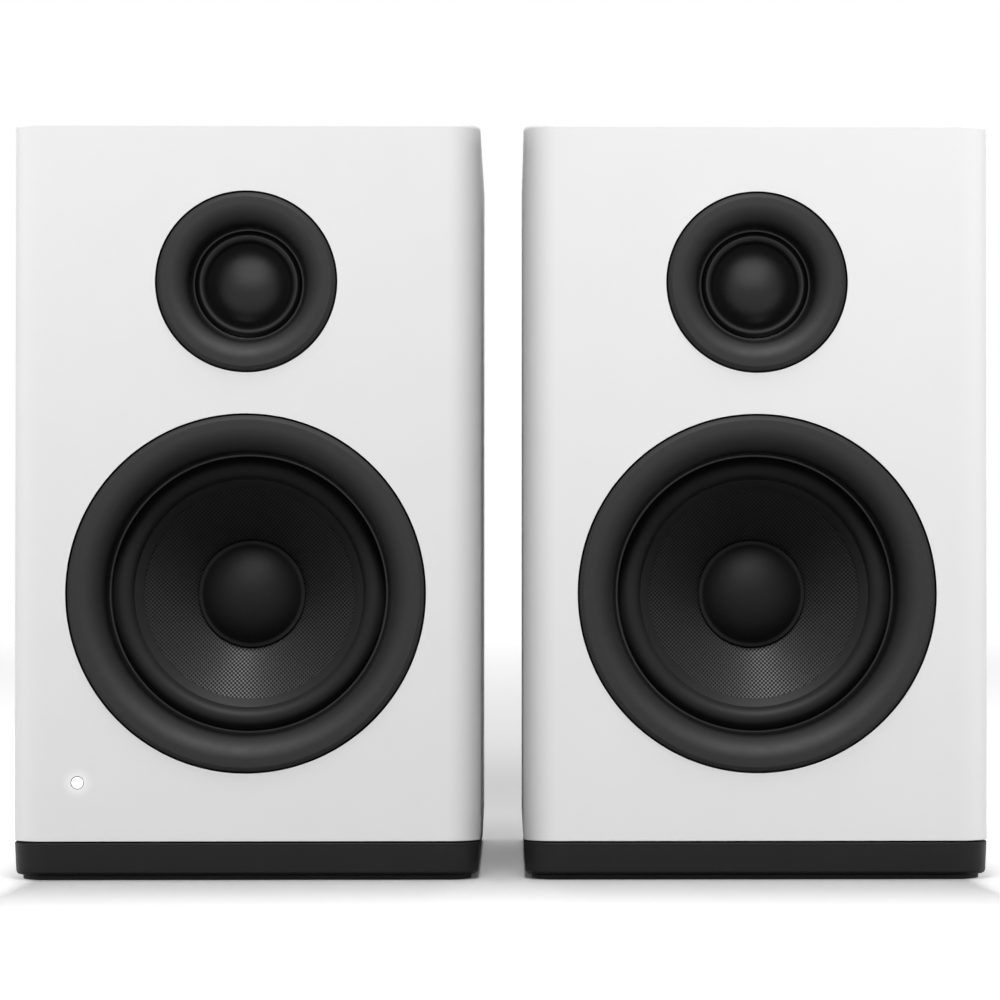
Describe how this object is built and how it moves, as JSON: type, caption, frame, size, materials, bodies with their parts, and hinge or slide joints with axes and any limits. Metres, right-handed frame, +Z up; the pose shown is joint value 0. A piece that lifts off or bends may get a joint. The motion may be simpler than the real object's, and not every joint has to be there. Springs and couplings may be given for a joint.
{
  "type": "desktop speakers",
  "caption": "Pair of two-way desktop speakers: white box cabinets on black bases, domed tweeter in a flared waveguide over a woven-cone woofer, powered left unit.",
  "frame": {"origin": "on the desk, under the middle of the box around the pair", "axes": "+X to the right as the listener sees the fronts, +Y from the fronts to the backs, +Z up"},
  "size_m": [0.2888, 0.1894, 0.2234],
  "materials": {
    "white_wrap": "white satin film over fibreboard",
    "black_plastic": "fine-textured moulded black",
    "satin_black": "satin black moulded ring",
    "pad_rubber": "matt foam rubber",
    "surround_rubber": "soft matt rubber",
    "dome_fabric": "coated cloth dome",
    "cap_fabric": "coated cloth cap",
    "woven_cone": "woven glass and carbon cone, lacquered",
    "spider_cloth": "impregnated corrugated cloth",
    "copper_coil": "enamelled copper winding",
    "plated_steel": "zinc-plated",
    "painted_basket": "black-painted pressed steel",
    "ferrite": "dark sintered ferrite",
    "screw_steel": "black oxide",
    "wire_jacket": "soft wire jacket",
    "circuit_board": "green solder mask",
    "light_pipe": "clear light pipe, lit",
    "knob_plastic": "matt black knob",
    "gloss_black": "polished black rocker",
    "red_plastic": "red clip lever",
    "socket_metal": "nickel-plated sockets"
  },
  "bodies": {
    "left_speaker": {"left_cabinet": "white_wrap", "left_base": "black_plastic", "left_foot_pad": "pad_rubber", "left_screws": "screw_steel", "left_wiring": "wire_jacket", "left_rear_panel": "black_plastic", "left_port_tube": "black_plastic", "left_tweeter_waveguide": "satin_black", "left_tweeter_surround": "surround_rubber", "left_tweeter_motor": "plated_steel", "left_woofer_bezel": "satin_black", "left_woofer_basket": "painted_basket", "left_woofer_top_plate": "plated_steel", "left_woofer_magnet": "ferrite", "left_woofer_yoke": "plated_steel", "left_woofer_surround": "surround_rubber", "left_woofer_spider": "spider_cloth", "left_terminal_block": "black_plastic", "left_led_lens": "light_pipe", "left_led_board": "circuit_board", "left_volume_pot": "plated_steel", "left_power_switch_frame": "black_plastic", "left_power_inlet": "black_plastic", "left_rca_sockets": "socket_metal", "left_aux_socket": "black_plastic", "left_amplifier_board": "circuit_board"},
    "right_speaker": {"right_cabinet": "white_wrap", "right_base": "black_plastic", "right_foot_pad": "pad_rubber", "right_screws": "screw_steel", "right_wiring": "wire_jacket", "right_rear_panel": "black_plastic", "right_port_tube": "black_plastic", "right_tweeter_waveguide": "satin_black", "right_tweeter_surround": "surround_rubber", "right_tweeter_motor": "plated_steel", "right_woofer_bezel": "satin_black", "right_woofer_basket": "painted_basket", "right_woofer_top_plate": "plated_steel", "right_woofer_magnet": "ferrite", "right_woofer_yoke": "plated_steel", "right_woofer_surround": "surround_rubber", "right_woofer_spider": "spider_cloth", "right_terminal_block": "black_plastic", "right_crossover_board": "circuit_board"},
    "left_woofer_diaphragm": {"left_woofer_cone": "woven_cone", "left_woofer_dust_cap": "cap_fabric", "left_woofer_voice_coil": "copper_coil"},
    "left_tweeter_diaphragm": {"left_tweeter_dome": "dome_fabric"},
    "left_red_lever": {"left_terminal_lever_red": "red_plastic"},
    "left_black_lever": {"left_terminal_lever_black": "black_plastic"},
    "right_woofer_diaphragm": {"right_woofer_cone": "woven_cone", "right_woofer_dust_cap": "cap_fabric", "right_woofer_voice_coil": "copper_coil"},
    "right_tweeter_diaphragm": {"right_tweeter_dome": "dome_fabric"},
    "right_red_lever": {"right_terminal_lever_red": "red_plastic"},
    "right_black_lever": {"right_terminal_lever_black": "black_plastic"},
    "volume_control": {"left_volume_knob": "knob_plastic", "left_volume_shaft": "plated_steel"},
    "power_rocker": {"left_power_rocker": "gloss_black"}
  },
  "joints": [
    {"name": "right_speaker_place", "type": "slide", "parent": "left_speaker", "child": "right_speaker", "axis": [1, 0, 0], "range_m": [0, 0.3]},
    {"name": "left_woofer_stroke", "type": "slide", "parent": "left_speaker", "child": "left_woofer_diaphragm", "axis": [0, -1, 0], "range_m": [-0.003, 0.003], "stiffness_N_per_m": 900, "deforming": ["left_woofer_surround", "left_woofer_spider"]},
    {"name": "left_tweeter_stroke", "type": "slide", "parent": "left_speaker", "child": "left_tweeter_diaphragm", "axis": [0, -1, 0], "range_m": [-0.0004, 0.0004], "stiffness_N_per_m": 1500, "deforming": ["left_tweeter_surround"]},
    {"name": "left_red_lever_press", "type": "hinge", "parent": "left_speaker", "child": "left_red_lever", "pos_m": [-0.0664, 0.0801, 0.0824], "axis": [-1, 0, 0], "range_deg": [0, 18], "stiffness_Nm_per_rad": 0.05},
    {"name": "left_black_lever_press", "type": "hinge", "parent": "left_speaker", "child": "left_black_lever", "pos_m": [-0.0844, 0.0801, 0.0824], "axis": [-1, 0, 0], "range_deg": [0, 18], "stiffness_Nm_per_rad": 0.05},
    {"name": "right_woofer_stroke", "type": "slide", "parent": "right_speaker", "child": "right_woofer_diaphragm", "axis": [0, -1, 0], "range_m": [-0.003, 0.003], "stiffness_N_per_m": 900, "deforming": ["right_woofer_surround", "right_woofer_spider"]},
    {"name": "right_tweeter_stroke", "type": "slide", "parent": "right_speaker", "child": "right_tweeter_diaphragm", "axis": [0, -1, 0], "range_m": [-0.0004, 0.0004], "stiffness_N_per_m": 1500, "deforming": ["right_tweeter_surround"]},
    {"name": "right_red_lever_press", "type": "hinge", "parent": "right_speaker", "child": "right_red_lever", "pos_m": [0.0844, 0.0801, 0.0824], "axis": [-1, 0, 0], "range_deg": [0, 18], "stiffness_Nm_per_rad": 0.05},
    {"name": "right_black_lever_press", "type": "hinge", "parent": "right_speaker", "child": "right_black_lever", "pos_m": [0.0664, 0.0801, 0.0824], "axis": [-1, 0, 0], "range_deg": [0, 18], "stiffness_Nm_per_rad": 0.05},
    {"name": "volume_turn", "type": "hinge", "parent": "left_speaker", "child": "volume_control", "pos_m": [-0.0754, 0.0817, 0.134], "axis": [0, 1, 0], "range_deg": [-150, 150]},
    {"name": "power_rock", "type": "hinge", "parent": "left_speaker", "child": "power_rocker", "pos_m": [-0.0554, 0.0801, 0.047], "axis": [1, 0, 0], "range_deg": [0, 16]}
  ]
}
